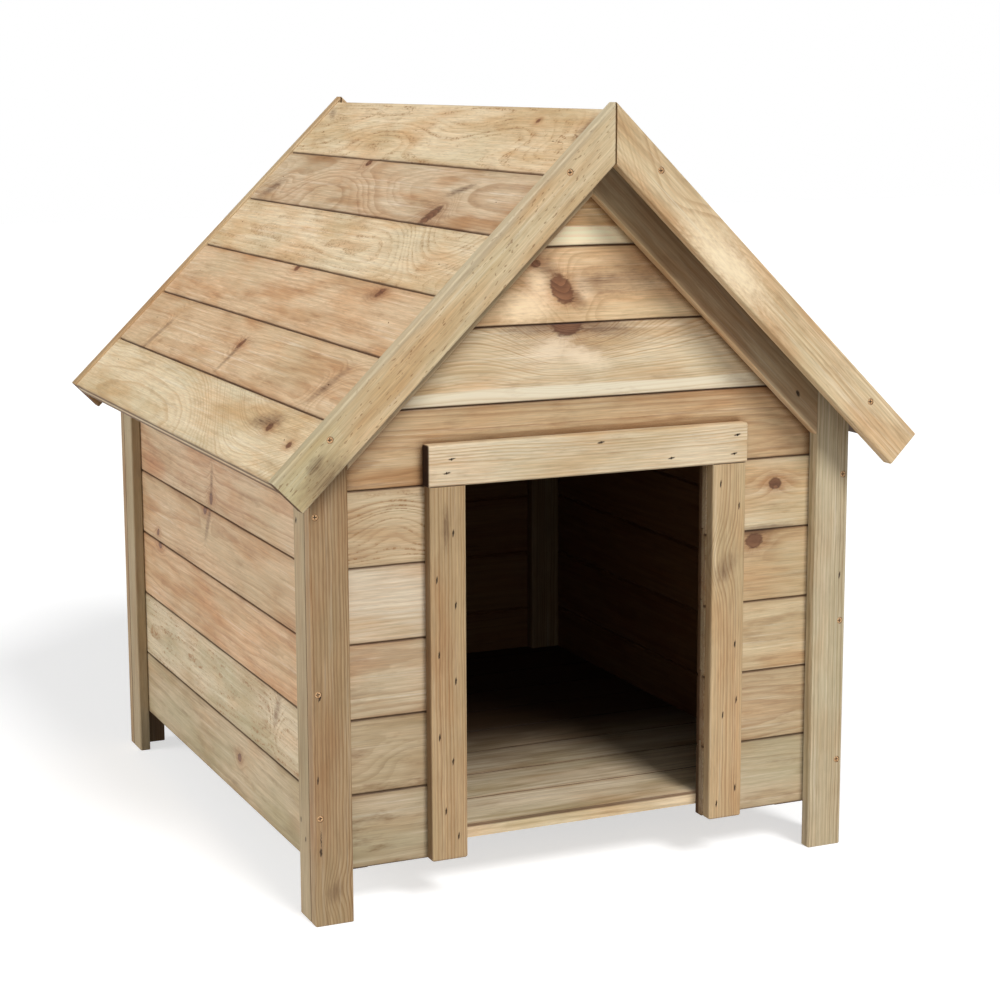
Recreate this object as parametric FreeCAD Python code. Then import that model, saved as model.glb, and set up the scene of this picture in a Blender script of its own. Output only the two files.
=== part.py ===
import FreeCAD, Part

import math
import os

from FreeCAD import Placement, Rotation, Vector

# A timber dog house with a pitched roof: tongue-and-groove boards nailed to battens.
# Millimetres, +Z up, the doorway faces -Y. The origin is on the ground, under the middle
# of the house's width and of the roof's length over its bargeboards.

# ---------------------------------------------------------------- whole house
HOUSE_WIDTH = 680.0  # over the corner posts
HOUSE_DEPTH = 790.0  # front post faces to rear post faces
RIDGE_HEIGHT = 903.0  # ground to the tip of the bargeboards
EAVE_HEIGHT = 513.2  # ground to the top edge of the bargeboards at the eaves
EAVE_OVERHANG = 58.0  # roof beyond the posts, sideways
FRONT_OVERHANG = 37.0  # roof boards beyond the front posts
REAR_OVERHANG = 21.0  # roof boards beyond the rear posts
WALL_CLEARANCE = 55.0  # ground to the underside of the wall boards
FLOOR_HEIGHT = 82.0  # ground to the top of the floor

# ---------------------------------------------------------------- boards
BOARD_THICKNESS = 16.0
END_WALL_ROWS = 10
SIDE_WALL_ROWS = 6
ROOF_ROWS = 6
TOP_BOARD_HEIGHT = 47.4  # the board under the ridge, sawn down from a full one
SIDE_WALL_GAP = 1.8  # side walls to the underside of the roof
RIDGE_GAP = 10.0  # left open between the top boards of the two slopes, which are sawn upright
FLOOR_BOARD_COVER = 86.0  # face width of a floor board
TONGUE_LENGTH = 6.0
TONGUE_THICKNESS = 5.0
TONGUE_SIDE_CLEARANCE = 0.3  # on each face of the tongue
TONGUE_END_CLEARANCE = 1.0  # between the tongue's tip and the groove's floor
WALL_BOARD_ROUND = 2.2  # outer edges of wall and floor boards
ROOF_BOARD_ROUND = 3.6  # outer edges of roof boards
BOARD_BEVEL = 3.0  # inner edges where boards join
NARROWEST_STRIP = 12.0  # a narrower last floor board is left on the one before it
FLOOR_SIDE_CLEARANCE = 1.0  # floor board ends to the side walls

# ---------------------------------------------------------------- battens and trim
POST_WIDTH = 45.0
POST_THICKNESS = 17.0
SIDE_BATTEN_WIDTH = 36.0
SIDE_BATTEN_THICKNESS = 14.0
BATTEN_ROUND = 2.4  # long edges of posts and battens
END_ROUND = 1.2  # sawn ends that show
GABLE_BATTEN_WIDTH = 54.0
INNER_BATTEN_WIDTH = 45.0
INNER_BATTEN_THICKNESS = 17.0
BEARER_WIDTH = 45.0
BEARER_THICKNESS = 17.0
BARGEBOARD_WIDTH = 48.0
BARGEBOARD_THICKNESS = 17.0
BARGEBOARD_ROUND = 2.4
BARGEBOARD_STAND = 3.0  # bargeboard's top edge above the roof boards
BARGEBOARD_MITRE_GAP = 2.2
GABLE_MITRE_GAP = 0.8

# ---------------------------------------------------------------- doorway
DOOR_WIDTH = 312.0
DOOR_ROWS = 5  # board rows beside the doorway
JAMB_WIDTH = 44.0
JAMB_THICKNESS = 17.0
JAMB_ROUND = 3.4
JAMB_END_ROUND = 2.6
LINTEL_HEIGHT = 47.0
LINTEL_THICKNESS = 17.0
LINTEL_OVERHANG = 1.5  # beyond the jambs, each end
LINTEL_ROUND = 2.8
LINTEL_END_ROUND = 2.0

# ---------------------------------------------------------------- screws
SCREW_HEAD_RADIUS = 4.0
SCREW_HEAD_RIM = 0.5
SCREW_SHANK_RADIUS = 1.9
SCREW_LENGTH = 45.0
SCREW_TIP_LENGTH = 5.0
SCREW_TIP_RADIUS = 0.4
SCREW_SINK = 0.8  # head below the wood's face
CROSS_ARM = 4.6  # tip to tip of the cross recess
CROSS_SLOT = 1.1
CROSS_DEPTH = 1.6
LEFT_POST_SCREWS = (125.0, 266.0, 50.0)  # two heights, then the top one's drop from the eave
RIGHT_POST_SCREWS = (108.0, 282.0, 52.0)
REAR_POST_SCREWS = (116.0, 274.0, 51.0)
BARGEBOARD_SCREW_INSETS = (92.0, 75.5)  # from the ridge, then from the eave, along the top edge
BARGEBOARD_SCREW_DROP = 15.0  # below the bargeboard's top edge, into the roof boards

# ---------------------------------------------------------------- nails
NAIL_WIDTH = 3.0
NAIL_THICKNESS = 1.2
NAIL_LENGTH = 30.0
NAIL_SINK = 1.2

# Nails are driven by hand, so no two places are alike.
# In a jamb: share of its width from the doorway, then height in board rows over the
# underside of the walls.
LEFT_JAMB_NAIL_SHARES = (
    (0.26, 0.31), (0.61, 0.67), (0.41, 1.34), (0.77, 1.69), (0.32, 2.42),
    (0.77, 2.79), (0.31, 3.43), (0.82, 3.79), (0.37, 4.39),
)
RIGHT_JAMB_NAIL_SHARES = (
    (0.23, 0.22), (0.79, 0.42), (0.39, 1.49), (0.79, 1.68), (0.72, 2.48),
    (0.79, 4.41), (0.23, 4.74),
)
# In the lintel: share of its half length to the right of the middle, then of its height.
LINTEL_NAIL_SHARES = (
    (-0.89, 0.32), (-0.86, 0.64), (0.05, 0.78), (0.50, 0.26), (0.91, 0.24), (0.93, 0.71),
)
# In a side batten: distance in from the end wall's outer face, then height.
SIDE_BATTEN_NAILS = ((13.0, 93.0), (28.5, 112.0))
SIDE_BATTEN_TOP_NAIL = (26.5, 60.0)  # its height is below the eave
# In the roof boards, from the ridge down: share of the face from the board's upper edge,
# and distance in from the end wall's outer face.
FRONT_ROOF_NAIL_SHARES = (0.46, 0.50, 0.55, 0.52, 0.56, 0.43)
FRONT_ROOF_NAIL_INSETS = (3.0, 8.0, 11.0, 5.5, 15.5, 2.5)
REAR_ROOF_NAIL_SHARES = (0.53, 0.50, 0.46, 0.48, 0.46, 0.33)
REAR_ROOF_NAIL_INSETS = (13.0, 18.0, 21.0, 31.0, 32.0, 33.0)
GABLE_NAIL_INSET = 27.0  # from the post
GABLE_NAIL_DROP = 37.0  # square below the batten's upper edge
CUTTER_OVERRUN = 1.0  # cutters reach past the face that they open

# ---------------------------------------------------------------- derived planes
HALF_WIDTH = HOUSE_WIDTH / 2
ROOF_REACH = HALF_WIDTH + EAVE_OVERHANG
ROOF_RISE = RIDGE_HEIGHT - EAVE_HEIGHT
SLOPE_LENGTH = math.hypot(ROOF_REACH, ROOF_RISE)
COS = ROOF_REACH / SLOPE_LENGTH
SIN = ROOF_RISE / SLOPE_LENGTH
TAN = ROOF_RISE / ROOF_REACH
ROOF_LENGTH = FRONT_OVERHANG + HOUSE_DEPTH + REAR_OVERHANG
ROOF_FRONT = -ROOF_LENGTH / 2  # the bargeboards are alike, so this centres them too
ROOF_REAR = ROOF_LENGTH / 2
POST_FRONT = ROOF_FRONT + FRONT_OVERHANG
POST_REAR = ROOF_REAR - REAR_OVERHANG
FRONT_OUTER = POST_FRONT + POST_THICKNESS  # outer face of the front wall boards
FRONT_INNER = FRONT_OUTER + BOARD_THICKNESS
REAR_OUTER = POST_REAR - POST_THICKNESS
REAR_INNER = REAR_OUTER - BOARD_THICKNESS
SIDE_OUTER = HALF_WIDTH - SIDE_BATTEN_THICKNESS  # outer face of the side wall boards
SIDE_INNER = SIDE_OUTER - BOARD_THICKNESS
POST_INNER = HALF_WIDTH - POST_WIDTH
ROOF_UNDER = BARGEBOARD_STAND + BOARD_THICKNESS  # underside, square below the top edge
ROOF_START = ROOF_UNDER * TAN  # where the undersides of both slopes meet
PEAK = RIDGE_HEIGHT - ROOF_UNDER / COS  # underside of the roof, at the ridge
SIDE_WALL_TOP = PEAK - SIDE_INNER * TAN - SIDE_WALL_GAP

# Face widths of the boards, which fill the walls and the roof with whole rows.
BOARD_COVER = (PEAK - TOP_BOARD_HEIGHT - WALL_CLEARANCE) / (END_WALL_ROWS - 1)
SIDE_BOARD_COVER = (SIDE_WALL_TOP - WALL_CLEARANCE) / SIDE_WALL_ROWS
ROOF_BOARD_COVER = (SLOPE_LENGTH - ROOF_START) / ROOF_ROWS
FLOOR_UNDER = FLOOR_HEIGHT - BOARD_THICKNESS
DOOR_TOP = WALL_CLEARANCE + DOOR_ROWS * BOARD_COVER

UP = Vector(0, 0, 1)
FRONTWARD = Vector(0, -1, 0)
REARWARD = Vector(0, 1, 0)
LEFTWARD = Vector(-1, 0, 0)
RIGHTWARD = Vector(1, 0, 0)
DOWN_SLOPE = Vector(-COS, 0, -SIN)  # on the left side of the roof
UP_SLOPE = Vector(COS, 0, SIN)
OFF_SLOPE = Vector(-SIN, 0, COS)

os.makedirs("parts", exist_ok=True)


# ---------------------------------------------------------------- helpers
def place(shape, origin, across, out):
    """Turn local Y to `across` and local Z to `out`, and put the local origin at `origin`."""
    along = across.cross(out)
    moved = shape.copy()
    moved.Placement = Placement(origin, Rotation(along, across, out, "ZYX"))
    return moved


def mirrored(shape):
    """The same piece on the other side of the house."""
    return shape.mirror(Vector(0, 0, 0), RIGHTWARD)


def slope_point(run, drop, y):
    """A point of the left slope: `run` from the tip, `drop` square below the top edge."""
    return Vector(0, y, RIDGE_HEIGHT) + DOWN_SLOPE * run - OFF_SLOPE * drop


def box(low, high):
    """A box between two corners, given as (x, y, z)."""
    size = [b - a for a, b in zip(low, high)]
    return Part.makeBox(size[0], size[1], size[2], Vector(*low))


def under_roof():
    """Everything that lies below the undersides of the roof boards."""
    eave = PEAK - ROOF_REACH * TAN
    ground = -CUTTER_OVERRUN
    outline = [
        Vector(-ROOF_REACH, ROOF_FRONT, ground),
        Vector(-ROOF_REACH, ROOF_FRONT, eave),
        Vector(0, ROOF_FRONT, PEAK),
        Vector(ROOF_REACH, ROOF_FRONT, eave),
        Vector(ROOF_REACH, ROOF_FRONT, ground),
    ]
    face = Part.Face(Part.makePolygon(outline + outline[:1]))
    return face.extrude(REARWARD * ROOF_LENGTH)


def between(shape, left, right):
    """Keep what lies between the upright planes x = left and x = right."""
    bounds = shape.BoundBox
    margin = CUTTER_OVERRUN
    low = (left, bounds.YMin - margin, bounds.ZMin - margin)
    high = (right, bounds.YMax + margin, bounds.ZMax + margin)
    return shape.common(box(low, high))


def strips(length, cover):
    """Face widths of boards laid side by side over `length`; the last is sawn to fit."""
    count = max(1, math.ceil((length - NARROWEST_STRIP) / cover))
    return [cover] * (count - 1) + [length - cover * (count - 1)]


# ---------------------------------------------------------------- timber
def rounded_corner(edges, corner, entry, leave, radius):
    """Add an arc that rounds `corner`; `entry` and `leave` point along its two sides."""
    middle = corner + (entry + leave) * (radius * (1 - math.sqrt(0.5)))
    start = corner + entry * radius
    end = corner + leave * radius
    edges.append(Part.Arc(start, middle, end).toShape())


def board_section(cover, outer_round, tongue, groove):
    """End view of a board: Y is its width from the lower edge, Z its outer face.

    An edge with no tongue or groove is sawn square on the inner side.
    """
    top = BOARD_THICKNESS
    tongue_low = (top - TONGUE_THICKNESS) / 2
    tongue_high = tongue_low + TONGUE_THICKNESS
    slot_low = tongue_low - TONGUE_SIDE_CLEARANCE
    slot_high = tongue_high + TONGUE_SIDE_CLEARANCE
    slot_depth = TONGUE_LENGTH + TONGUE_END_CLEARANCE
    upper = [(cover, top - outer_round)]
    if tongue:
        tip = cover + TONGUE_LENGTH
        upper += [(cover, tongue_high), (tip, tongue_high), (tip, tongue_low), (cover, tongue_low)]
        upper += [(cover, BOARD_BEVEL), (cover - BOARD_BEVEL, 0)]
    else:
        upper += [(cover, 0)]
    if groove:
        lower = [(BOARD_BEVEL, 0), (0, BOARD_BEVEL), (0, slot_low), (slot_depth, slot_low)]
        lower += [(slot_depth, slot_high), (0, slot_high)]
    else:
        lower = [(0, 0)]
    lower += [(0, top - outer_round)]
    corners = [Vector(0, y, z) for y, z in upper + lower]
    edges = [Part.LineSegment(a, b).toShape() for a, b in zip(corners, corners[1:])]
    right, left = Vector(0, 1, 0), Vector(0, -1, 0)
    down = Vector(0, 0, -1)
    rounded_corner(edges, Vector(0, 0, top), down, right, outer_round)
    face_start = Vector(0, outer_round, top)
    face_end = Vector(0, cover - outer_round, top)
    edges.append(Part.LineSegment(face_start, face_end).toShape())
    rounded_corner(edges, Vector(0, cover, top), left, down, outer_round)
    return Part.Face(Part.Wire(edges))


def board(length, cover, outer_round=WALL_BOARD_ROUND, tongue=True, groove=True):
    """A board along X, its inner face at Z = 0."""
    return board_section(cover, outer_round, tongue, groove).extrude(RIGHTWARD * length)


def lies_at(edge, axis, value):
    """Whether a straight or curved edge lies in the plane where `axis` equals `value`."""
    tolerance = 1e-6
    return all(abs(getattr(v.Point, axis) - value) < tolerance for v in edge.Vertexes)


def batten(length, width, thickness, edge_round, rounded_ends=()):
    """A planed batten along X, with rounded long edges and the given ends eased."""
    plain = Part.makeBox(length, width, thickness)
    long_edges = [e for e in plain.Edges if abs(e.tangentAt(e.FirstParameter).x) > 0.5]
    shape = plain.makeFillet(edge_round, long_edges)
    for position, end_round in rounded_ends:
        rim = [e for e in shape.Edges if lies_at(e, "x", position)]
        shape = shape.makeFillet(end_round, rim)
    return shape


def upright(low, high, out, edge_round=BATTEN_ROUND, end_round=END_ROUND):
    """A post between two corners, its wide face looking `out`, its foot eased."""
    size = [b - a for a, b in zip(low, high)]
    across = out.cross(UP)
    width = abs(across.x) * size[0] + abs(across.y) * size[1]
    thickness = abs(out.x) * size[0] + abs(out.y) * size[1]
    shape = batten(size[2], width, thickness, edge_round, [(0.0, end_round)])
    origin = Vector(high[0] if across.x < 0 else low[0], high[1], low[2])
    return place(shape, origin, across, out)


# ---------------------------------------------------------------- fasteners
def screw_profile(head_top):
    """Half outline of a countersunk screw that points down, its head's face at Z = 0."""
    neck = -(SCREW_HEAD_RADIUS - SCREW_SHANK_RADIUS) - SCREW_HEAD_RIM
    outline = [
        (0, head_top),
        (SCREW_HEAD_RADIUS, head_top),
        (SCREW_HEAD_RADIUS, -SCREW_HEAD_RIM),
        (SCREW_SHANK_RADIUS, neck),
        (SCREW_SHANK_RADIUS, SCREW_TIP_LENGTH - SCREW_LENGTH),
        (SCREW_TIP_RADIUS, -SCREW_LENGTH),
        (0, -SCREW_LENGTH),
    ]
    points = [Vector(x, 0, z) for x, z in outline]
    face = Part.Face(Part.makePolygon(points + points[:1]))
    return face.revolve(Vector(0, 0, 0), UP, 360)


def screw():
    """The screw itself, with its cross recess."""
    shape = screw_profile(0)
    half_arm, half_slot = CROSS_ARM / 2, CROSS_SLOT / 2
    arm = box((-half_arm, -half_slot, -CROSS_DEPTH), (half_arm, half_slot, CUTTER_OVERRUN))
    cross_arm = box((-half_slot, -half_arm, -CROSS_DEPTH), (half_slot, half_arm, CUTTER_OVERRUN))
    return shape.cut(arm.fuse(cross_arm))


def nail(head_top):
    """A flat gun nail that points down, its head's face at Z = 0."""
    half_width, half_thickness = NAIL_WIDTH / 2, NAIL_THICKNESS / 2
    return box((-half_width, -half_thickness, -NAIL_LENGTH), (half_width, half_thickness, head_top))


def driven(shape, face_point, outward, width_direction, sink):
    """Drive a fastener through a face whose normal is `outward`, `sink` below it."""
    origin = face_point - outward * sink
    side = outward.cross(width_direction)
    return place(shape, origin, side, outward)


def post_screws(x, y, outward, low, middle, drop):
    """Three screws up a post."""
    return [(Vector(x, y, z), outward) for z in (low, middle, EAVE_HEIGHT - drop)]


def post_screw_points():
    """Screws through the posts into the edges of the side battens."""
    line = HALF_WIDTH - SIDE_BATTEN_THICKNESS / 2
    points = post_screws(-line, POST_FRONT, FRONTWARD, *LEFT_POST_SCREWS)
    points += post_screws(line, POST_FRONT, FRONTWARD, *RIGHT_POST_SCREWS)
    for x in (-line, line):
        points += post_screws(x, POST_REAR, REARWARD, *REAR_POST_SCREWS)
    return points


def bargeboard_screw_points():
    """Screws through the bargeboards into the ends of the first and last roof boards."""
    points = []
    front = ROOF_FRONT - BARGEBOARD_THICKNESS
    rear = ROOF_REAR + BARGEBOARD_THICKNESS
    from_ridge, from_eave = BARGEBOARD_SCREW_INSETS
    for run in (from_ridge, SLOPE_LENGTH - from_eave):
        for y, outward in ((front, FRONTWARD), (rear, REARWARD)):
            point = slope_point(run, BARGEBOARD_SCREW_DROP, y)
            points.append((point, outward))
            points.append((Vector(-point.x, point.y, point.z), outward))
    return points


def jamb_nail_points():
    points = []
    for side, nails in ((-1, LEFT_JAMB_NAIL_SHARES), (1, RIGHT_JAMB_NAIL_SHARES)):
        for share, rows in nails:
            x = side * (DOOR_WIDTH / 2 + share * JAMB_WIDTH)
            z = WALL_CLEARANCE + rows * BOARD_COVER
            points.append((Vector(x, POST_FRONT, z), FRONTWARD, UP))
    return points


def lintel_nail_points():
    half = DOOR_WIDTH / 2 + JAMB_WIDTH + LINTEL_OVERHANG
    points = []
    for across, up in LINTEL_NAIL_SHARES:
        point = Vector(across * half, POST_FRONT, DOOR_TOP + up * LINTEL_HEIGHT)
        points.append((point, FRONTWARD, UP))
    return points


def roof_nail_points():
    """One nail at each end of each roof board, into the gable walls and what backs them."""
    front = (FRONT_OUTER, REARWARD, FRONT_ROOF_NAIL_SHARES, FRONT_ROOF_NAIL_INSETS)
    rear = (REAR_OUTER, FRONTWARD, REAR_ROOF_NAIL_SHARES, REAR_ROOF_NAIL_INSETS)
    points = []
    for wall, inward, shares, insets in (front, rear):
        for row in range(ROOF_ROWS):
            run = ROOF_START + (row + shares[row]) * ROOF_BOARD_COVER
            left = slope_point(run, BARGEBOARD_STAND, wall) + inward * insets[row]
            right = Vector(-left.x, left.y, left.z)
            points.append((left, OFF_SLOPE, REARWARD))
            points.append((right, Vector(SIN, 0, COS), REARWARD))
    return points


def side_batten_nail_points():
    """Nails through the side battens into the wall boards behind."""
    top_inset, drop = SIDE_BATTEN_TOP_NAIL
    nails = SIDE_BATTEN_NAILS + ((top_inset, EAVE_HEIGHT - drop),)
    points = []
    for wall, inward in ((FRONT_OUTER, 1), (REAR_OUTER, -1)):
        for inset, z in nails:
            y = wall + inward * inset
            points.append((Vector(-HALF_WIDTH, y, z), LEFTWARD, UP))
            points.append((Vector(HALF_WIDTH, y, z), RIGHTWARD, UP))
    return points


def gable_nail_points():
    """One nail at the foot of each gable batten."""
    drop = ROOF_UNDER + GABLE_NAIL_DROP
    run = (POST_INNER - GABLE_NAIL_INSET + drop * SIN) / COS
    points = []
    for y, outward in ((POST_FRONT, FRONTWARD), (POST_REAR, REARWARD)):
        left = slope_point(run, drop, y)
        points.append((left, outward, UP))
        points.append((Vector(-left.x, left.y, left.z), outward, UP))
    return points


SCREW_POINTS = post_screw_points() + bargeboard_screw_points()
NAIL_POINTS = (
    jamb_nail_points()
    + lintel_nail_points()
    + roof_nail_points()
    + side_batten_nail_points()
    + gable_nail_points()
)


def all_screws(shape):
    return [driven(shape, point, outward, UP, SCREW_SINK) for point, outward in SCREW_POINTS]


def all_nails(shape):
    return [driven(shape, point, outward, width, NAIL_SINK) for point, outward, width in NAIL_POINTS]


HOLES = all_screws(screw_profile(SCREW_SINK + CUTTER_OVERRUN))
HOLES += all_nails(nail(NAIL_SINK + CUTTER_OVERRUN))


def save(node, shapes):
    """Drill the fasteners' holes and write one node of one or more solids."""
    drilled = []
    for shape in shapes:
        holes = [hole for hole in HOLES if hole.BoundBox.intersect(shape.BoundBox)]
        if holes:
            shape = shape.cut(holes)
        drilled += shape.Solids
    write(node, drilled)


def write(node, solids):
    shape = solids[0] if len(solids) == 1 else Part.makeCompound(solids)
    shape.exportStep(f"parts/{node}.step")


ENVELOPE = under_roof()


def below_roof(shape):
    return shape.common(ENVELOPE)


# ---------------------------------------------------------------- corner posts
def make_posts():
    """Four posts that face front and rear, and four battens that face the sides."""
    for end, y in (("front", POST_FRONT), ("rear", POST_REAR - POST_THICKNESS)):
        low = (-HALF_WIDTH, y, 0.0)
        high = (-POST_INNER, y + POST_THICKNESS, PEAK)
        post = below_roof(upright(low, high, FRONTWARD))
        save(f"{end}_post_left", [post])
        save(f"{end}_post_right", [mirrored(post)])
    for end, y in (("front", FRONT_OUTER), ("rear", REAR_OUTER - SIDE_BATTEN_WIDTH)):
        low = (-HALF_WIDTH, y, 0.0)
        high = (-SIDE_OUTER, y + SIDE_BATTEN_WIDTH, PEAK)
        side = below_roof(upright(low, high, RIGHTWARD))
        save(f"side_batten_{end}_left", [side])
        save(f"side_batten_{end}_right", [mirrored(side)])


# ---------------------------------------------------------------- walls
def end_wall_row(row, cover, x_low, x_high, tongue):
    """One board of the front wall, from x_low to x_high."""
    height = WALL_CLEARANCE + row * BOARD_COVER
    shape = board(x_high - x_low, cover, tongue=tongue, groove=row > 0)
    return below_roof(place(shape, Vector(x_low, FRONT_INNER, height), UP, FRONTWARD))


def rear_copy(shape):
    """Turn a front wall board about the upright axis to the rear wall."""
    turned = shape.copy()
    middle = (FRONT_OUTER + REAR_OUTER) / 2
    turned.rotate(Vector(0, middle, 0), UP, 180)
    return turned


def make_end_walls():
    rear = []
    for row in range(END_WALL_ROWS):
        tongue = row < END_WALL_ROWS - 1
        cover = BOARD_COVER if tongue else TOP_BOARD_HEIGHT
        full = end_wall_row(row, cover, -SIDE_OUTER, SIDE_OUTER, tongue)
        rear.append(rear_copy(full))
        if row < DOOR_ROWS:
            left = end_wall_row(row, cover, -SIDE_OUTER, -DOOR_WIDTH / 2, tongue)
            right = end_wall_row(row, cover, DOOR_WIDTH / 2, SIDE_OUTER, tongue)
            save(f"front_board_left_{row + 1}", [left])
            save(f"front_board_right_{row + 1}", [right])
        else:
            save(f"front_board_{row + 1}", [full])
    save("rear_wall_boards", rear)


def make_side_walls():
    length = REAR_INNER - FRONT_INNER
    cover = SIDE_BOARD_COVER
    right = []
    for row in range(SIDE_WALL_ROWS):
        shape = board(length, cover, tongue=row < SIDE_WALL_ROWS - 1, groove=row > 0)
        origin = Vector(-SIDE_INNER, REAR_INNER, WALL_CLEARANCE + row * cover)
        left = below_roof(place(shape, origin, UP, LEFTWARD))
        save(f"left_wall_board_{row + 1}", [left])
        right.append(mirrored(left))
    save("right_wall_boards", right)


# ---------------------------------------------------------------- gables
def gable_batten(front_face, thickness, width, foot):
    """The left batten under the roof: mitred at the middle, its foot sawn upright."""
    lower_edge = ROOF_UNDER + width
    past_tip = lower_edge * TAN
    length = past_tip + foot / COS + lower_edge * TAN
    shape = batten(length, width, thickness, BATTEN_ROUND)
    origin = slope_point(-past_tip, lower_edge, front_face)
    laid = place(shape, origin, OFF_SLOPE, REARWARD)
    return between(laid, -foot, -GABLE_MITRE_GAP / 2)


def make_gable_battens():
    for end, y in (("front", POST_FRONT), ("rear", POST_REAR - POST_THICKNESS)):
        left = gable_batten(y, POST_THICKNESS, GABLE_BATTEN_WIDTH, POST_INNER)
        save(f"gable_batten_{end}_left", [left])
        save(f"gable_batten_{end}_right", [mirrored(left)])


def make_inner_frame():
    """Battens inside the end walls: in the corners, and under the roof."""
    corners, rafters = [], []
    foot = SIDE_INNER - INNER_BATTEN_WIDTH
    for y in (FRONT_INNER, REAR_INNER - INNER_BATTEN_THICKNESS):
        low = (-SIDE_INNER, y, FLOOR_HEIGHT)
        high = (-foot, y + INNER_BATTEN_THICKNESS, PEAK)
        corner = below_roof(upright(low, high, FRONTWARD))
        rafter = gable_batten(y, INNER_BATTEN_THICKNESS, INNER_BATTEN_WIDTH, foot)
        corners += [corner, mirrored(corner)]
        rafters += [rafter, mirrored(rafter)]
    save("inner_corner_battens", corners)
    save("inner_rafters", rafters)


# ---------------------------------------------------------------- doorway
def make_doorway():
    outer = DOOR_WIDTH / 2 + JAMB_WIDTH
    low = (-outer, FRONT_OUTER - JAMB_THICKNESS, WALL_CLEARANCE)
    high = (-DOOR_WIDTH / 2, FRONT_OUTER, DOOR_TOP)
    left = upright(low, high, FRONTWARD, JAMB_ROUND, JAMB_END_ROUND)
    save("door_jamb_left", [left])
    save("door_jamb_right", [mirrored(left)])
    length = 2 * (outer + LINTEL_OVERHANG)
    ends = [(0.0, LINTEL_END_ROUND), (length, LINTEL_END_ROUND)]
    lintel = batten(length, LINTEL_HEIGHT, LINTEL_THICKNESS, LINTEL_ROUND, ends)
    corner = Vector(-length / 2, FRONT_OUTER, DOOR_TOP)
    save("door_lintel", [place(lintel, corner, UP, FRONTWARD)])


# ---------------------------------------------------------------- floor
def make_floor():
    """Boards from side to side, on two bearers along the side walls."""
    length = 2 * (SIDE_INNER - FLOOR_SIDE_CLEARANCE)
    covers = strips(REAR_INNER - FRONT_INNER, FLOOR_BOARD_COVER)
    boards = []
    for row, cover in enumerate(covers):
        shape = board(length, cover, tongue=row < len(covers) - 1, groove=row > 0)
        origin = Vector(-length / 2, FRONT_INNER + row * FLOOR_BOARD_COVER, FLOOR_UNDER)
        boards.append(place(shape, origin, REARWARD, UP))
    save("floor_boards", boards)
    bearer = batten(REAR_INNER - FRONT_INNER, BEARER_WIDTH, BEARER_THICKNESS, BATTEN_ROUND)
    corner = Vector(-SIDE_INNER, REAR_INNER, FLOOR_UNDER - BEARER_THICKNESS)
    left = place(bearer, corner, RIGHTWARD, UP)
    save("floor_bearers", [left, mirrored(left)])


# ---------------------------------------------------------------- roof
def make_roof():
    """Rows are counted from the ridge down; each board's tongue points up the slope.

    The top board is wider, and is sawn upright to meet the other slope's.
    """
    for row in range(ROOF_ROWS):
        top, lowest = row == 0, row == ROOF_ROWS - 1
        cover = ROOF_BOARD_COVER + (ROOF_START if top else 0)
        shape = board(ROOF_LENGTH, cover, ROOF_BOARD_ROUND, tongue=not top, groove=not lowest)
        origin = slope_point(ROOF_START + (row + 1) * ROOF_BOARD_COVER, ROOF_UNDER, ROOF_REAR)
        left = place(shape, origin, UP_SLOPE, OFF_SLOPE)
        if top:
            left = between(left, -ROOF_REACH, -RIDGE_GAP / 2)
        save(f"roof_board_left_{row + 1}", [left])
        save(f"roof_board_right_{row + 1}", [mirrored(left)])


def make_bargeboards():
    past_tip = BARGEBOARD_WIDTH * TAN
    length = past_tip + SLOPE_LENGTH
    ends = [(length, END_ROUND)]
    shape = batten(length, BARGEBOARD_WIDTH, BARGEBOARD_THICKNESS, BARGEBOARD_ROUND, ends)
    for end, y in (("front", ROOF_FRONT - BARGEBOARD_THICKNESS), ("rear", ROOF_REAR)):
        origin = slope_point(-past_tip, BARGEBOARD_WIDTH, y)
        laid = place(shape, origin, OFF_SLOPE, REARWARD)
        left = between(laid, -ROOF_REACH - CUTTER_OVERRUN, -BARGEBOARD_MITRE_GAP / 2)
        save(f"bargeboard_{end}_left", [left])
        save(f"bargeboard_{end}_right", [mirrored(left)])


make_posts()
make_end_walls()
make_side_walls()
make_gable_battens()
make_inner_frame()
make_doorway()
make_floor()
make_roof()
make_bargeboards()
write("screws", all_screws(screw()))
write("nails", all_nails(nail(0)))
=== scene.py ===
import math

import bpy
from mathutils import Euler, Matrix, Vector

# The dog house's looks: every board and batten is bare pine with its own grain, knots and marks.
# Material coordinates are millimetres along a piece (u), across its face (v) and out of it (w, 0 at
# the face).

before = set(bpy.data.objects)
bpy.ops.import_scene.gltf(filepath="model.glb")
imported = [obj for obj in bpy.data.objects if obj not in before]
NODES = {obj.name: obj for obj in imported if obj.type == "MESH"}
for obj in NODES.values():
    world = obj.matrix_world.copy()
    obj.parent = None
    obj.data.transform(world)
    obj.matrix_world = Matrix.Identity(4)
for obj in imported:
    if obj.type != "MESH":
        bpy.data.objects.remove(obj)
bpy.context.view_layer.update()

MM = 0.001

# ---------------------------------------------------------------- the house's planes, mm
RIDGE = 903.0
EAVE = 513.2
REACH = 398.0
ROOF_STAND = 3.0
ROOF_UNDER = 19.0
WALL_BOTTOM = 55.0
ROW = 86.0
HALF_WIDTH = 340.0
SIDE_OUTER = 326.0
FRONT_OUTER = -370.0
REAR_OUTER = 386.0
POST_FRONT = -387.0
POST_REAR = 403.0
BARGE_FRONT = -441.0
SLOPE = math.hypot(REACH, RIDGE - EAVE)
COS = REACH / SLOPE
SIN = (RIDGE - EAVE) / SLOPE
ROOF_START = ROOF_UNDER * SIN / COS
ROOF_ROW = (SLOPE - ROOF_START) / 6
FLOOR_TOP = 82.0
FLOOR_START = -354.0
FLOOR_SHADE = (-350.0, 20.0)  # daylight fades over this depth inside the doorway
POST_WIDTH = 45.0
SIDE_BATTEN_WIDTH = 36.0
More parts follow.
